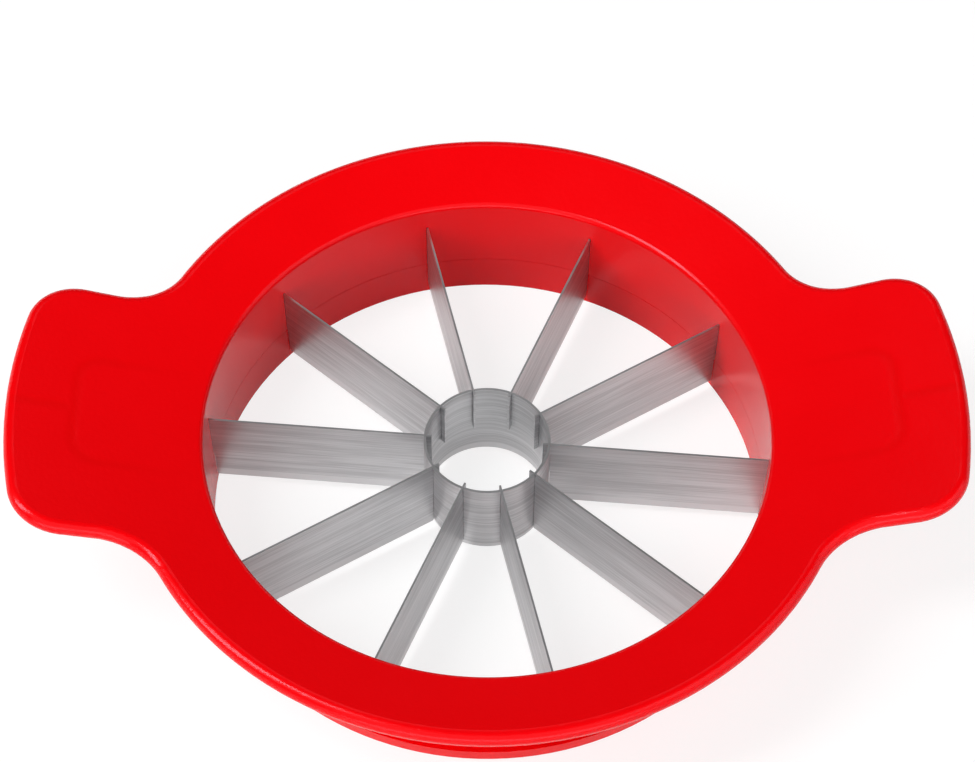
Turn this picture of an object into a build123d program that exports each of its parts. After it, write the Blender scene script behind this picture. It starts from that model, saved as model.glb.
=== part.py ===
from build123d import *
from math import atan2, cos, hypot, radians, sqrt, tan
import os

# Two-handled fruit slicer and corer: a moulded body with a dish rim and two wing handles carries ten
# steel blades and a coring tube. Millimetres, +Z up, handles along X, foot on Z = 0, axis of the
# coring tube at X = Y = 0.

# Moulded body
opening_radius = 50.0
rim_radius = 63.7
handle_reach = 83.1
handle_end_half_width = 25.9
handle_flare = 1.95
handle_corner_radius = 9.2
handle_root_radius = 12.5
root_fillet_share = 0.95
dish_inner_height = 24.5
dish_end_height = 35.0
lip_thickness = 3.3
lip_round_share = 0.95
dish_edge_radius = 1.0
wall_thickness = 2.4
wall_draft = 0.8
wall_root_radius = 2.5

# Underside of the handles
skin_thickness = 2.2
lip_band = 4.5
pocket_inner_margin = 3.0
rib_depth = 4.5
rib_thickness = 1.4
rib_frame_margin = 11.4
rib_frame_length = 22.0
rib_frame_width = 22.0
rib_frame_corner = 4.5

# Foot ring, snapped in from below
foot_height = 3.0
foot_overhang = 0.7
spigot_thickness = 1.15
spigot_height = 5.5
snap_bead_depth = 0.35
snap_bead_half_height = 0.8
snap_bead_offset = 3.2
foot_edge_radius = 0.6

# Blades and coring tube
blade_count = 10
first_blade_angle = -6.0
blade_thickness = 0.35
spine_height = 19.5
edge_height = 2.0
bevel_height = 2.2
edge_thickness = 0.1
blade_tab_depth = 2.6
tongue_length = 0.9
hook_depth = 2.0
tube_radius = 11.3
tube_wall = 0.45
tube_lap_height = 11.0
tube_bottom = 1.2
tube_bevel_height = 1.6
boss_width = 4.4
boss_depth = 2.0
boss_overlap = 0.6

# Clearances
slot_clearance = 0.05
lap_clearance = 0.05
tab_end_clearance = 0.2
seat_clearance = 0.1
spigot_clearance = 0.1
wall_clearance = 0.15

# Used to pick edges and corners: a length that counts as equal, and the slope of an upright edge
match_tolerance = 0.01
upright_slope = 0.9

# Heights and radii that follow from the sizes above. Two lip fillets take up nearly all of the lip's
# thickness, and a fillet where a handle leaves the rim ends before the one at the handle's corner.
dish_slope = atan2(dish_end_height - dish_inner_height, handle_reach - opening_radius)
lip_radius = lip_round_share * lip_thickness * cos(dish_slope) / 2
flare_slope = tan(radians(handle_flare))
handle_centre_half_width = handle_end_half_width - handle_reach * flare_slope
side_distance = handle_centre_half_width * cos(radians(handle_flare))
corner_centre = sqrt((handle_reach - handle_corner_radius) ** 2 - (side_distance - handle_corner_radius) ** 2)
root_fillet_limit = (corner_centre**2 - rim_radius**2 + side_distance**2) / (2 * (rim_radius - side_distance))
handle_root_fillet = min(handle_root_radius, root_fillet_share * root_fillet_limit)
body_bottom = foot_height
wall_radius = opening_radius + wall_thickness
foot_radius = wall_radius + foot_overhang
wall_top_radius = wall_radius + wall_draft
spigot_radius = opening_radius + spigot_thickness
spigot_top = foot_height + spigot_height
rabbet_radius = spigot_radius + spigot_clearance
rabbet_top = spigot_top + seat_clearance
snap_bead_height = foot_height + snap_bead_offset
groove_half_height = snap_bead_half_height + seat_clearance
boss_bottom = rabbet_top - boss_overlap
tab_bottom = rabbet_top + seat_clearance
blade_end_radius = opening_radius + blade_tab_depth
slot_end_radius = blade_end_radius + tab_end_clearance
slot_width = blade_thickness + 2 * slot_clearance
slot_top = spine_height + seat_clearance
tube_bore = tube_radius - tube_wall
wall_top = dish_inner_height - lip_thickness / 4
root_radius = wall_top_radius + wall_root_radius
root_bottom = wall_top - wall_root_radius
root_bulge = wall_root_radius * (1 - sqrt(0.5))
pocket_radius = rim_radius - lip_band + pocket_inner_margin
rib_frame_centre = handle_reach - rib_frame_margin - rib_frame_length / 2


def dish_line(drop):
    """The dish's generating line, lowered by drop, from the opening to the end of the handles."""
    return Line((opening_radius, dish_inner_height - drop), (handle_reach, dish_end_height - drop))


def radius_of(edge):
    """Distance of an edge's midpoint from the tool's axis."""
    middle = edge.position_at(0.5)
    return hypot(middle.X, middle.Y)


# Plan of the body: a round rim with two handles, which widen towards their ends, and whose ends are
# arcs about the tool's axis
with BuildSketch() as plan:
    with BuildLine():
        Polyline(
            (0, handle_centre_half_width),
            (handle_reach, handle_end_half_width),
            (handle_reach, -handle_end_half_width),
            (0, -handle_centre_half_width),
            (-handle_reach, -handle_end_half_width),
            (-handle_reach, handle_end_half_width),
            close=True,
        )
    make_face()
    Circle(handle_reach, mode=Mode.INTERSECT)
    fillet(plan.vertices().filter_by(lambda v: abs(v.X) > rim_radius), handle_corner_radius)
    Circle(rim_radius)
    roots = plan.vertices().filter_by(lambda v: abs(hypot(v.X, v.Y) - rim_radius) < match_tolerance)
    fillet(roots, handle_root_fillet)

# Hollow under each handle: the space below the skin and inside the lip
with BuildPart() as handle_hollows:
    with BuildSketch(Plane.XZ) as hollow_section:
        with BuildLine():
            ceiling = dish_line(skin_thickness)
            hollow_floor = dish_line(2 * lip_thickness)
            Line(ceiling @ 1, hollow_floor @ 1)
            Line(ceiling @ 0, hollow_floor @ 0)
        make_face()
    revolve(axis=Axis.Z)
    with BuildSketch() as hollow_plan:
        add(plan.sketch)
        offset(amount=-lip_band, kind=Kind.ARC, mode=Mode.REPLACE)
        Circle(pocket_radius, mode=Mode.SUBTRACT)
    extrude(amount=2 * dish_end_height, mode=Mode.INTERSECT)

# Ribs in each hollow: a frame with rounded corners, and a spoke from the frame to the end of the handle
with BuildPart() as handle_ribs:
    with BuildSketch(Plane.XZ) as rib_section:
        with BuildLine():
            rib_top = dish_line(skin_thickness / 2)
            rib_foot = dish_line(rib_depth)
            Line(rib_top @ 1, rib_foot @ 1)
            Line(rib_top @ 0, rib_foot @ 0)
        make_face()
    revolve(axis=Axis.Z)
    with BuildSketch() as rib_plan:
        Rectangle(2 * (handle_reach - lip_band / 2), rib_thickness)
        with Locations((rib_frame_centre, 0), (-rib_frame_centre, 0)):
            RectangleRounded(rib_frame_length, rib_frame_width, rib_frame_corner)
            RectangleRounded(
                rib_frame_length - 2 * rib_thickness,
                rib_frame_width - 2 * rib_thickness,
                rib_frame_corner - rib_thickness,
                mode=Mode.SUBTRACT,
            )
        Circle(pocket_radius - rib_thickness, mode=Mode.SUBTRACT)
    extrude(amount=2 * dish_end_height, mode=Mode.INTERSECT)

with BuildPart() as body:
    # Dish plate, trimmed to the plan, with a full round lip
    with BuildSketch(Plane.XZ) as dish_section:
        with BuildLine():
            top_edge = dish_line(0)
            under_edge = dish_line(lip_thickness)
            Line(top_edge @ 1, under_edge @ 1)
            Line(top_edge @ 0, under_edge @ 0)
        make_face()
    revolve(axis=Axis.Z)
    with BuildSketch() as trim:
        add(plan.sketch)
    extrude(amount=2 * dish_end_height, mode=Mode.INTERSECT)
    lip_edges = body.edges().filter_by(
        lambda e: radius_of(e) > opening_radius + match_tolerance and abs((e % 0.5).Z) < upright_slope
    )
    fillet(lip_edges, lip_radius)
    # Round wall with a rabbet and snap groove for the foot ring
    with BuildSketch(Plane.XZ) as wall_section:
        with BuildLine():
            Polyline(
                (rabbet_radius, snap_bead_height - groove_half_height),
                (rabbet_radius, body_bottom),
                (wall_radius, body_bottom),
                (wall_top_radius, root_bottom),
            )
            ThreePointArc(
                (wall_top_radius, root_bottom),
                (wall_top_radius + root_bulge, wall_top - root_bulge),
                (root_radius, wall_top),
            )
            Polyline(
                (root_radius, wall_top),
                (opening_radius, wall_top),
                (opening_radius, rabbet_top),
                (rabbet_radius, rabbet_top),
                (rabbet_radius, snap_bead_height + groove_half_height),
            )
            ThreePointArc(
                (rabbet_radius, snap_bead_height + groove_half_height),
                (rabbet_radius + snap_bead_depth, snap_bead_height),
                (rabbet_radius, snap_bead_height - groove_half_height),
            )
        make_face()
    revolve(axis=Axis.Z)
    add(handle_hollows.part, mode=Mode.SUBTRACT)
    add(handle_ribs.part)
    # Bosses on the outside of the wall, each with a slot for the end of a blade
    with BuildSketch(Plane.XY.offset(boss_bottom)) as bosses:
        with PolarLocations(wall_radius, blade_count, first_blade_angle):
            Rectangle(2 * boss_depth, boss_width)
        Circle(opening_radius + wall_thickness / 2, mode=Mode.SUBTRACT)
    extrude(amount=wall_top - boss_bottom)
    with BuildSketch(Plane.XY.offset(rabbet_top)) as slots:
        with PolarLocations(opening_radius, blade_count, first_blade_angle):
            Rectangle(2 * (slot_end_radius - opening_radius), slot_width)
    extrude(amount=slot_top - rabbet_top, mode=Mode.SUBTRACT)
    # Soft inner edge of the dish
    inner_edge = body.edges().filter_by(GeomType.CIRCLE).filter_by(
        lambda e: abs(radius_of(e) - opening_radius) < match_tolerance
    ).sort_by(Axis.Z)[-1]
    fillet(inner_edge, dish_edge_radius)
body.part.label = "body"

with BuildPart() as foot_ring:
    with BuildSketch(Plane.XZ) as foot_section:
        with BuildLine():
            Polyline(
                (spigot_radius, snap_bead_height + snap_bead_half_height),
                (spigot_radius, spigot_top),
                (opening_radius, spigot_top),
                (opening_radius, 0),
                (foot_radius, 0),
                (foot_radius, foot_height),
                (spigot_radius, foot_height),
                (spigot_radius, snap_bead_height - snap_bead_half_height),
            )
            ThreePointArc(
                (spigot_radius, snap_bead_height - snap_bead_half_height),
                (spigot_radius + snap_bead_depth, snap_bead_height),
                (spigot_radius, snap_bead_height + snap_bead_half_height),
            )
        make_face()
    revolve(axis=Axis.Z)
    fillet(foot_ring.edges().filter_by(GeomType.CIRCLE).group_by(Axis.Z)[0], foot_edge_radius)
foot_ring.part.label = "foot_ring"

with BuildPart() as core_tube:
    with BuildSketch(Plane.XZ) as tube_section:
        with BuildLine():
            Polyline(
                (tube_bore, spine_height),
                (tube_radius, spine_height),
                (tube_radius, tube_bottom + tube_bevel_height),
                (tube_bore + edge_thickness, tube_bottom),
                (tube_bore, tube_bottom),
                close=True,
            )
        make_face()
    revolve(axis=Axis.Z)
    with BuildSketch(Plane.XY.offset(tube_lap_height)) as tube_slots:
        with PolarLocations(tube_radius, blade_count, first_blade_angle):
            Rectangle(4 * tube_wall, slot_width)
    extrude(amount=spine_height, mode=Mode.SUBTRACT)
core_tube.part.label = "core_tube"

# One blade, lying along +X: a flat strip, hooked over the coring tube at its inner end, with a tab for
# the slot in the wall at its outer end and a bevel on both sides of its lower edge
with BuildPart() as blade:
    with BuildSketch(Plane.XZ) as blade_side:
        with BuildLine():
            Polyline(
                (tube_bore - tongue_length, spine_height),
                (blade_end_radius, spine_height),
                (blade_end_radius, tab_bottom),
                (opening_radius - wall_clearance, tab_bottom),
                (opening_radius - wall_clearance, edge_height),
                (tube_radius + lap_clearance, edge_height),
                (tube_radius + lap_clearance, tube_lap_height + lap_clearance),
                (tube_bore - lap_clearance, tube_lap_height + lap_clearance),
                (tube_bore - lap_clearance, tube_lap_height - hook_depth),
                (tube_bore - tongue_length, tube_lap_height - hook_depth),
                close=True,
            )
        make_face()
    extrude(amount=blade_thickness / 2, both=True)
    with BuildSketch(Plane.YZ) as blade_section:
        with BuildLine():
            Polyline(
                (-blade_thickness / 2, spine_height),
                (-blade_thickness / 2, edge_height + bevel_height),
                (-edge_thickness / 2, edge_height),
                (edge_thickness / 2, edge_height),
                (blade_thickness / 2, edge_height + bevel_height),
                (blade_thickness / 2, spine_height),
                close=True,
            )
        make_face()
    extrude(amount=2 * opening_radius, mode=Mode.INTERSECT)

os.makedirs("parts", exist_ok=True)
for piece in (body, foot_ring, core_tube):
    export_step(piece.part, f"parts/{piece.part.label}.step")
for number in range(1, blade_count + 1):
    blade_angle = first_blade_angle + (number - 1) * 360 / blade_count
    with BuildPart() as placed_blade:
        with Locations(Location((0, 0, 0), (0, 0, blade_angle))):
            add(blade.part)
    placed_blade.part.label = f"blade_{number:02d}"
    export_step(placed_blade.part, f"parts/{placed_blade.part.label}.step")
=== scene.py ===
from math import cos, pi, radians, sin

import bpy
from mathutils import Matrix, Vector


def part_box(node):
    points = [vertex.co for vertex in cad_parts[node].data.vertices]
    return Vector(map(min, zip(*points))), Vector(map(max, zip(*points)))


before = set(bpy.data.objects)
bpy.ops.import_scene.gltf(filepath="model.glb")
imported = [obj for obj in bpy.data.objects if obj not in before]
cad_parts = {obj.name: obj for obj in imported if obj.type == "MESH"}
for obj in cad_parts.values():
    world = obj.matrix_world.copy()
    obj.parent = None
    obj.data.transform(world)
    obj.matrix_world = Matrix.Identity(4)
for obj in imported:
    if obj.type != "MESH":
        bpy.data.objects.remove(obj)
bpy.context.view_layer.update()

# Looks of a two-handled fruit slicer and corer: a red moulded ring with a dish rim and two wing handles,
# ten steel blades and a coring tube. Metres, in the frame of the solids. A scale counts features per metre.

MILLIMETRE = 0.001

# Camera, fitted to the object's outline in the photograph
IMAGE_WIDTH = 975
FOCAL_PIXELS = 2265.32
SENSOR_WIDTH = 36.0
VIEW_AZIMUTH = radians(1.5759)
VIEW_ELEVATION = radians(54.2862)
VIEW_ROLL = radians(0.5383)
VIEW_DISTANCE = 434.45 * MILLIMETRE
VIEW_TARGET = Vector((0.7031, 26.8461, 0.0)) * MILLIMETRE
NEAREST_SEEN = 10.0 * MILLIMETRE

# Red plastic: colours, gloss and grain
RED = (0.88, 0.0, 0.002, 1.0)
DEEP_RED = (0.84, 0.0, 0.0015, 1.0)
RED_ROUGHNESS = 0.20
RED_ROUGHNESS_SPREAD = 0.04
RED_SMUDGES = 0.02
RED_GLOSS = 0.25
RED_GLOSS_TINT = (1.0, 0.7, 0.85, 1.0)
GRAIN_DEPTH = 0.05 * MILLIMETRE
BODY_GRAIN_SCALE = 1500.0
FOOT_GRAIN_SCALE = 1700.0
WAVE_SCALE = 160.0
BROAD_SCALE = 45.0

# Marks that the ribs underneath leave on the top of each handle: a rounded square and a spoke outside it,
# as a shallow groove whose darker red is painted shade
SHADED_MARK_RED = (0.82, 0.0, 0.001, 1.0)
MARK_CENTRE = 60.9 * MILLIMETRE
MARK_HALF_SIZE = 10.6 * MILLIMETRE
MARK_CORNER = 4.5 * MILLIMETRE
MARK_WIDTH = 1.5 * MILLIMETRE
MARK_DEPTH = 0.03 * MILLIMETRE
MARK_STRENGTH_AT_WALL = 0.1

# Ground steel: colours, gloss and grinding lines
STEEL = (0.48, 0.48, 0.49, 1.0)
BRIGHT_STEEL = (0.63, 0.63, 0.64, 1.0)
STEEL_ROUGHNESS = 0.40
LINE_POLISH = 0.08
EDGE_POLISH = 0.03
STEEL_SMUDGES = 0.05
LINE_DEPTH = 0.006 * MILLIMETRE
LINE_SCALE = 3200.0
LINE_SCALE_LENGTHWISE = 60.0
BAND_SCALE = 500.0
BAND_SCALE_LENGTHWISE = 25.0
LINE_SHARE = 0.65

# Bevels that sharpen the lower edges, as high as in the solids
BLADE_BEVEL = 2.2 * MILLIMETRE
TUBE_BEVEL = 1.6 * MILLIMETRE
BEVEL_BORDER = 0.1 * MILLIMETRE

SMUDGE_SCALE = 90.0

# White floor: its shade and its own glow, as the camera and as a mirroring surface see it
FLOOR_SIZE = 6.0
FLOOR_SHADE = (0.8, 0.8, 0.8, 1.0)
FLOOR_SHADE_MIRRORED = (0.55, 0.55, 0.55, 1.0)
FLOOR_SHADE_SEEN = (0.25, 0.25, 0.25, 1.0)
FLOOR_GLOW_MIRRORED = 0.45
FLOOR_GLOW_SEEN = 0.8

# Dim studio, with a white backdrop that fades out between these two rises of a ray
STUDIO_FILL = 0.07
BACKDROP_FULL = 0.2
BACKDROP_END = 0.35
LAMP_AIM = Vector((0.0, 0.0, 20.0)) * MILLIMETRE

# Sockets of a Mix node for colours
MIX_FACTOR = 0
MIX_FIRST = 6
MIX_SECOND = 7
MIX_RESULT = 2


def give(tree, socket, value):
    """Links a socket to another one, or sets it to a plain value."""
    if isinstance(value, bpy.types.NodeSocket):
        tree.links.new(value, socket)
    else:
        socket.default_value = value


def node(tree, kind, inputs=None, **settings):
    """Adds a shader node, sets its properties, and sets or links its inputs."""
    made = tree.nodes.new("ShaderNode" + kind)
    for name, value in settings.items():
        setattr(made, name, value)
    for socket, value in (inputs or {}).items():
        give(tree, made.inputs[socket], value)
    return made


def maths(tree, operation, *values):
    """One step of arithmetic on values or sockets."""
    return node(tree, "Math", dict(enumerate(values)), operation=operation).outputs[0]


def ramp(tree, value, low, high, start=0.0, end=1.0):
    """A smooth step from start to end, as value goes from low to high."""
    inputs = {"Value": value, "From Min": low, "From Max": high, "To Min": start, "To Max": end}
    return node(tree, "MapRange", inputs, interpolation_type="SMOOTHSTEP").outputs[0]


def vector(tree, x, y, z):
    """A vector made of three values or sockets."""
    return node(tree, "CombineXYZ", {0: x, 1: y, 2: z}).outputs[0]


def noise(tree, place, scale, detail, roughness):
    """Fractal noise at a place, from 0 to 1."""
    inputs = {"Vector": place, "Scale": scale, "Detail": detail, "Roughness": roughness}
    return node(tree, "TexNoise", inputs).outputs[0]


def stretched_noise(tree, place, lengthwise, scale, detail, roughness):
    """Noise in level streaks: fine in height, long in the other two directions."""
    stretch = vector(tree, lengthwise, lengthwise, scale)
    stretched = node(tree, "VectorMath", {0: place, 1: stretch}, operation="MULTIPLY").outputs[0]
    return noise(tree, stretched, 1.0, detail, roughness)


def mix_colour(tree, factor, first, second):
    """A colour between two others."""
    inputs = {MIX_FACTOR: factor, MIX_FIRST: first, MIX_SECOND: second}
    return node(tree, "Mix", inputs, data_type="RGBA").outputs[MIX_RESULT]


def bump(tree, height, distance, normal=None):
    """A bump of a given height in metres, over an earlier one if there is one."""
    inputs = {"Height": height, "Distance": distance, "Strength": 1.0}
    if normal is not None:
        inputs["Normal"] = normal
    return node(tree, "Bump", inputs).outputs[0]


def group_tree(name, inputs, outputs):
    """An empty node group, with the sockets that it takes in and puts out."""
    tree = bpy.data.node_groups.new(name, "ShaderNodeTree")
    for label in inputs:
        tree.interface.new_socket(label, in_out="INPUT", socket_type="NodeSocketFloat")
    for label, kind in outputs.items():
        tree.interface.new_socket(label, in_out="OUTPUT", socket_type="NodeSocket" + kind)
    return tree, tree.nodes.new("NodeGroupInput").outputs, tree.nodes.new("NodeGroupOutput").inputs


def use_group(tree, group, inputs=None):
    """Places a node group in a tree with its own values, and gives its outputs."""
    made = tree.nodes.new("ShaderNodeGroup")
    made.node_tree = group
    for name, value in (inputs or {}).items():
        give(tree, made.inputs[name], value)
    return made.outputs


def tool_coordinates_group():
    """A place in the tool's frame, whole and by its parts."""
    labels = {"Place": "Vector", "X": "Float", "Y": "Float", "Height": "Float"}
    tree, _, out = group_tree("tool coordinates", [], labels)
    place = node(tree, "TexCoord").outputs["Object"]
    x, y, z = node(tree, "SeparateXYZ", {0: place}).outputs
    for label, socket in (("Place", place), ("X", x), ("Y", y), ("Height", z)):
        tree.links.new(socket, out[label])
    return tree


def moulded_grain_group(coordinates):
    """The grain and slight waves that a mould leaves, and a broad unevenness of colour and gloss."""
    tree, given, out = group_tree("moulded grain", ["Fine Scale", "Wave Scale", "Broad Scale"],
                                  {"Grain": "Float", "Unevenness": "Float"})
    place = use_group(tree, coordinates)["Place"]
    fine = noise(tree, place, given["Fine Scale"], detail=2.0, roughness=0.5)
    waves = noise(tree, place, given["Wave Scale"], detail=2.0, roughness=0.4)
    half_and_half = maths(tree, "MULTIPLY", maths(tree, "ADD", fine, waves), 0.5)
    tree.links.new(half_and_half, out["Grain"])
    tree.links.new(noise(tree, place, given["Broad Scale"], detail=3.0, roughness=0.6), out["Unevenness"])
    return tree


def handling_smudges_group(coordinates):
    """Faint smudges from use, up to a given amount, which change the gloss a little."""
    tree, given, out = group_tree("handling smudges", ["Scale", "Amount"], {"Smudges": "Float"})
    place = use_group(tree, coordinates)["Place"]
    smudges = ramp(tree, noise(tree, place, given["Scale"], detail=4.0, roughness=0.6), low=0.4, high=0.75)
    tree.links.new(maths(tree, "MULTIPLY", smudges, given["Amount"]), out["Smudges"])
    return tree


def grinding_lines_group(coordinates):
    """Fine level lines on ground steel, along the blades and round the tube, with broader bands."""
    tree, given, out = group_tree("grinding lines", ["Line Scale", "Band Scale"],
                                  {"Lines": "Float", "Tone": "Float"})
    place = use_group(tree, coordinates)["Place"]
    lines = stretched_noise(tree, place, LINE_SCALE_LENGTHWISE, given["Line Scale"],
                            detail=3.0, roughness=0.65)
    bands = stretched_noise(tree, place, BAND_SCALE_LENGTHWISE, given["Band Scale"],
                            detail=2.0, roughness=0.5)
    band_part = maths(tree, "MULTIPLY", bands, 1.0 - LINE_SHARE)
    mixed = maths(tree, "MULTIPLY_ADD", lines, LINE_SHARE, band_part)
    tree.links.new(lines, out["Lines"])
    tree.links.new(ramp(tree, mixed, low=0.36, high=0.64), out["Tone"])
    return tree


def sink_marks_group(coordinates):
    """The ribs under a handle, as a shallow groove in its top: a rounded square and a spoke. The same mask
    darkens the red there as painted shade.
    """
    tree, _, out = group_tree("sink marks", [], {"Depth": "Float"})
    place = use_group(tree, coordinates)
    from_axis = maths(tree, "ABSOLUTE", place["X"])
    along = maths(tree, "ABSOLUTE", maths(tree, "SUBTRACT", from_axis, MARK_CENTRE))
    across = maths(tree, "ABSOLUTE", place["Y"])
    straight_half = MARK_HALF_SIZE - MARK_CORNER
    past_x = maths(tree, "SUBTRACT", along, straight_half)
    past_y = maths(tree, "SUBTRACT", across, straight_half)
    past_both = vector(tree, maths(tree, "MAXIMUM", past_x, 0.0), maths(tree, "MAXIMUM", past_y, 0.0), 0.0)
    outside = node(tree, "VectorMath", {0: past_both}, operation="LENGTH").outputs["Value"]
    inside = maths(tree, "MINIMUM", maths(tree, "MAXIMUM", past_x, past_y), 0.0)
    from_core = maths(tree, "ADD", outside, inside)
    from_square = maths(tree, "ABSOLUTE", maths(tree, "SUBTRACT", from_core, MARK_CORNER))
    square = ramp(tree, from_square, low=0.0, high=MARK_WIDTH, start=1.0, end=0.0)
    near_end = MARK_CENTRE - MARK_HALF_SIZE
    far_end = MARK_CENTRE + MARK_HALF_SIZE
    on_spoke = ramp(tree, across, low=0.0, high=MARK_WIDTH, start=1.0, end=0.0)
    past_square = ramp(tree, from_axis, low=far_end, high=far_end + MARK_WIDTH)
    spoke = maths(tree, "MULTIPLY", on_spoke, past_square)
    outward = ramp(tree, from_axis, low=near_end, high=far_end, start=MARK_STRENGTH_AT_WALL, end=1.0)
    tree.links.new(maths(tree, "MULTIPLY", maths(tree, "MAXIMUM", square, spoke), outward), out["Depth"])
    return tree


coordinates = tool_coordinates_group()
moulded_grain = moulded_grain_group(coordinates)
handling_smudges = handling_smudges_group(coordinates)
grinding_lines = grinding_lines_group(coordinates)
sink_marks = sink_marks_group(coordinates)


def empty_material(name):
    """A material with an empty tree, and the socket for its surface."""
    material = bpy.data.materials.new(name)
    material.use_nodes = True
    tree = material.node_tree
    tree.nodes.clear()
    return material, tree, node(tree, "OutputMaterial").inputs["Surface"]


def finish_material(name):
    """A material with a Principled shader, and the sockets of that shader."""
    material, tree, surface = empty_material(name)
    shader = node(tree, "BsdfPrincipled")
    tree.links.new(shader.outputs[0], surface)
    return material, tree, shader.inputs


def red_moulding(name, grain_scale, with_marks):
    """Satin red plastic; the handles' rib marks are on the body only."""
    material, tree, shader = finish_material(name)
    scales = {"Fine Scale": grain_scale, "Wave Scale": WAVE_SCALE, "Broad Scale": BROAD_SCALE}
    grain = use_group(tree, moulded_grain, scales)
    smudges = use_group(tree, handling_smudges, {"Scale": SMUDGE_SCALE, "Amount": RED_SMUDGES})["Smudges"]
    colour = mix_colour(tree, grain["Unevenness"], DEEP_RED, RED)
    rough = maths(tree, "MULTIPLY_ADD", grain["Unevenness"], RED_ROUGHNESS_SPREAD, RED_ROUGHNESS)
    normal = bump(tree, grain["Grain"], GRAIN_DEPTH)
    if with_marks:
        groove_and_painted_shade = use_group(tree, sink_marks)["Depth"]
        # painted shade: the red is darkened along the grooves, standing in for the shade that falls in them
        colour = mix_colour(tree, groove_and_painted_shade, colour, SHADED_MARK_RED)
        normal = bump(tree, maths(tree, "SUBTRACT", 1.0, groove_and_painted_shade), MARK_DEPTH, normal)
    give(tree, shader["Base Color"], colour)
    give(tree, shader["Roughness"], maths(tree, "ADD", rough, smudges))
    give(tree, shader["Normal"], normal)
    give(tree, shader["Specular IOR Level"], RED_GLOSS)
    give(tree, shader["Specular Tint"], RED_GLOSS_TINT)
    return material


def ground_steel(name, bevel_top):
    """Stainless steel with fine level lines, and a brighter ground edge below bevel_top."""
    material, tree, shader = finish_material(name)
    height = use_group(tree, coordinates)["Height"]
    lines = use_group(tree, grinding_lines, {"Line Scale": LINE_SCALE, "Band Scale": BAND_SCALE})
    smudges = use_group(tree, handling_smudges, {"Scale": SMUDGE_SCALE, "Amount": STEEL_SMUDGES})["Smudges"]
    ground = ramp(tree, height, low=bevel_top, high=bevel_top - BEVEL_BORDER)
    colour = mix_colour(tree, lines["Tone"], STEEL, BRIGHT_STEEL)
    rough = maths(tree, "MULTIPLY_ADD", lines["Tone"], -LINE_POLISH, STEEL_ROUGHNESS)
    rough = maths(tree, "ADD", rough, smudges)
    give(tree, shader["Base Color"], mix_colour(tree, ground, colour, BRIGHT_STEEL))
    give(tree, shader["Roughness"], maths(tree, "MULTIPLY_ADD", ground, -EDGE_POLISH, rough))
    give(tree, shader["Normal"], bump(tree, lines["Lines"], LINE_DEPTH))
    give(tree, shader["Metallic"], 1.0)
    return material


blade_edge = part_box("blade_01")[0].z
tube_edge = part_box("core_tube")[0].z
body_red = red_moulding("red moulding of the body", BODY_GRAIN_SCALE, True)
foot_red = red_moulding("red moulding of the foot ring", FOOT_GRAIN_SCALE, False)
blade_steel = ground_steel("blade steel", blade_edge + BLADE_BEVEL)
tube_steel = ground_steel("coring tube steel", tube_edge + TUBE_BEVEL)


def dress(name, material):
    """Gives a solid its finish."""
    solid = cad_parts[name]
    solid.data.materials.clear()
    solid.data.materials.append(material)


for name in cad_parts:
    if name.startswith("blade_"):
        dress(name, blade_steel)
dress("core_tube", tube_steel)
dress("body", body_red)
dress("foot_ring", foot_red)


def white_floor():
    """A white floor that keeps the shadow and is clear from below."""
    bpy.ops.mesh.primitive_plane_add(size=FLOOR_SIZE)
    floor = bpy.context.object
    floor.name = "floor"
    material, tree, surface = empty_material("white floor")
    ray = node(tree, "LightPath").outputs
    shade = mix_colour(tree, ray["Is Glossy Ray"], FLOOR_SHADE, FLOOR_SHADE_MIRRORED)
    shade = mix_colour(tree, ray["Is Camera Ray"], shade, FLOOR_SHADE_SEEN)
    diffuse = node(tree, "BsdfDiffuse", {"Color": shade}).outputs[0]
    mirrored = maths(tree, "MULTIPLY", ray["Is Glossy Ray"], FLOOR_GLOW_MIRRORED)
    strength = maths(tree, "MULTIPLY_ADD", ray["Is Camera Ray"], FLOOR_GLOW_SEEN, mirrored)
    glow = node(tree, "Emission", {"Strength": strength}).outputs[0]
    lit = node(tree, "AddShader", {0: diffuse, 1: glow}).outputs[0]
    clear = node(tree, "BsdfTransparent").outputs[0]
    behind = node(tree, "NewGeometry").outputs["Backfacing"]
    tree.links.new(node(tree, "MixShader", {0: behind, 1: lit, 2: clear}).outputs[0], surface)
    floor.data.materials.append(material)


def studio_world():
    """A dim studio with a white backdrop, which metal mirrors too."""
    world = bpy.data.worlds.new("studio")
    bpy.context.scene.world = world
    world.use_nodes = True
    tree = world.node_tree
    tree.nodes.clear()
    ray = node(tree, "LightPath").outputs
    mirrored = maths(tree, "MAXIMUM", ray["Is Glossy Ray"], ray["Is Transmission Ray"])
    rise = node(tree, "SeparateXYZ", {0: node(tree, "TexCoord").outputs["Generated"]}).outputs[2]
    below_end = ramp(tree, rise, low=BACKDROP_FULL, high=BACKDROP_END, start=1.0, end=0.0)
    white = maths(tree, "MAXIMUM", ray["Is Camera Ray"], maths(tree, "MULTIPLY", mirrored, below_end))
    strength = maths(tree, "MAXIMUM", white, STUDIO_FILL)
    shade = node(tree, "Background", {"Color": (1.0, 1.0, 1.0, 1.0), "Strength": strength}).outputs[0]
    tree.links.new(shade, node(tree, "OutputWorld").inputs["Surface"])


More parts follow.
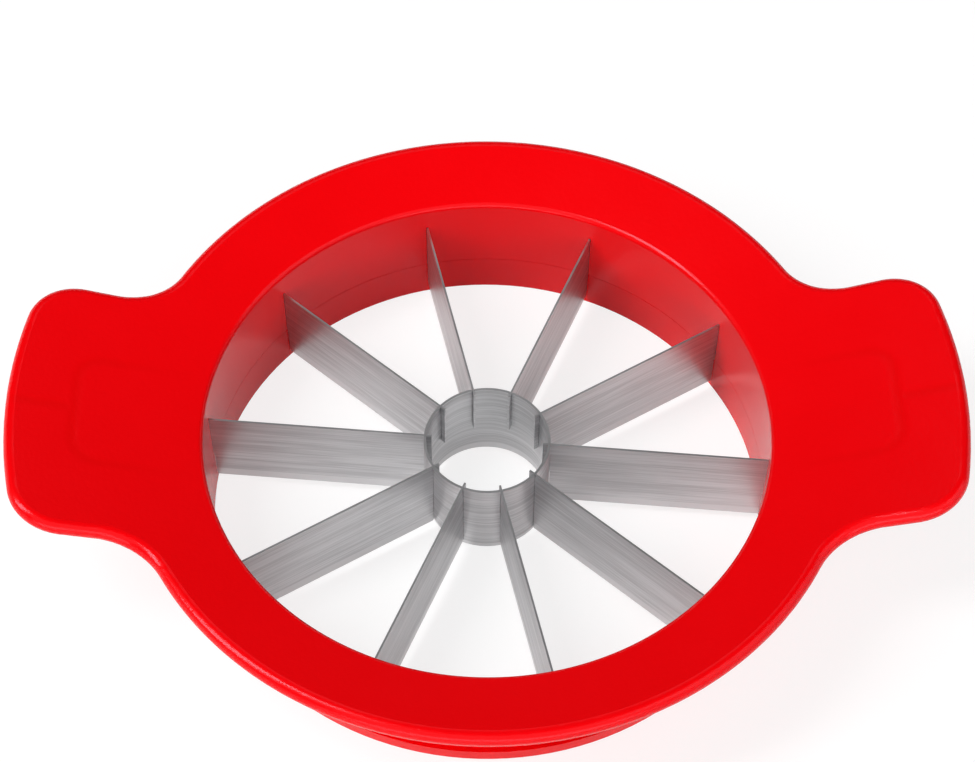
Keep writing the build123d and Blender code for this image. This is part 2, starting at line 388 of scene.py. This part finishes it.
def soft_lamp(name, place, width, height, brightness):
    """A rectangular soft lamp aimed at the object, as bright as a white surface that many times over."""
    lamp = bpy.data.lights.new(name, "AREA")
    lamp.shape = "RECTANGLE"
    lamp.size = width
    lamp.size_y = height
    lamp.energy = pi * brightness * width * height
    lamp_object = bpy.data.objects.new(name, lamp)
    bpy.context.scene.collection.objects.link(lamp_object)
    turn = (LAMP_AIM - Vector(place)).to_track_quat("-Z", "Y")
    lamp_object.matrix_world = Matrix.Translation(place) @ turn.to_matrix().to_4x4()


def photograph_camera():
    """The camera that took the photograph."""
    forward = Vector((sin(VIEW_AZIMUTH) * cos(VIEW_ELEVATION), cos(VIEW_AZIMUTH) * cos(VIEW_ELEVATION),
                      -sin(VIEW_ELEVATION)))
    level = Vector((cos(VIEW_AZIMUTH), -sin(VIEW_AZIMUTH), 0.0))
    upright = level.cross(forward)
    right = level * cos(VIEW_ROLL) + upright * sin(VIEW_ROLL)
    up = upright * cos(VIEW_ROLL) - level * sin(VIEW_ROLL)
    place = VIEW_TARGET - forward * VIEW_DISTANCE
    camera = bpy.data.cameras.new("camera")
    camera.sensor_fit = "HORIZONTAL"
    camera.sensor_width = SENSOR_WIDTH
    camera.lens = SENSOR_WIDTH * FOCAL_PIXELS / IMAGE_WIDTH
    camera.clip_start = NEAREST_SEEN
    camera_object = bpy.data.objects.new("camera", camera)
    turn = Matrix((right, up, -forward)).transposed()
    camera_object.matrix_world = Matrix.Translation(place) @ turn.to_4x4()
    bpy.context.scene.collection.objects.link(camera_object)
    bpy.context.scene.camera = camera_object


white_floor()
studio_world()
soft_lamp("front lamp", place=(0.10, -1.15, 0.90), width=2.0, height=2.0, brightness=0.7)
soft_lamp("low front lamp", place=(0.0, -1.30, 0.30), width=1.8, height=0.5, brightness=2.0)
soft_lamp("left lamp", place=(-0.57, -0.14, 0.74), width=0.25, height=0.70, brightness=12.5)
soft_lamp("right lamp", place=(0.76, -0.25, 0.60), width=0.8, height=0.8, brightness=1.25)
soft_lamp("back lamp", place=(0.0, 0.60, 0.83), width=0.28, height=0.25, brightness=0.8)
photograph_camera()
bpy.context.scene.view_settings.view_transform = "Standard"
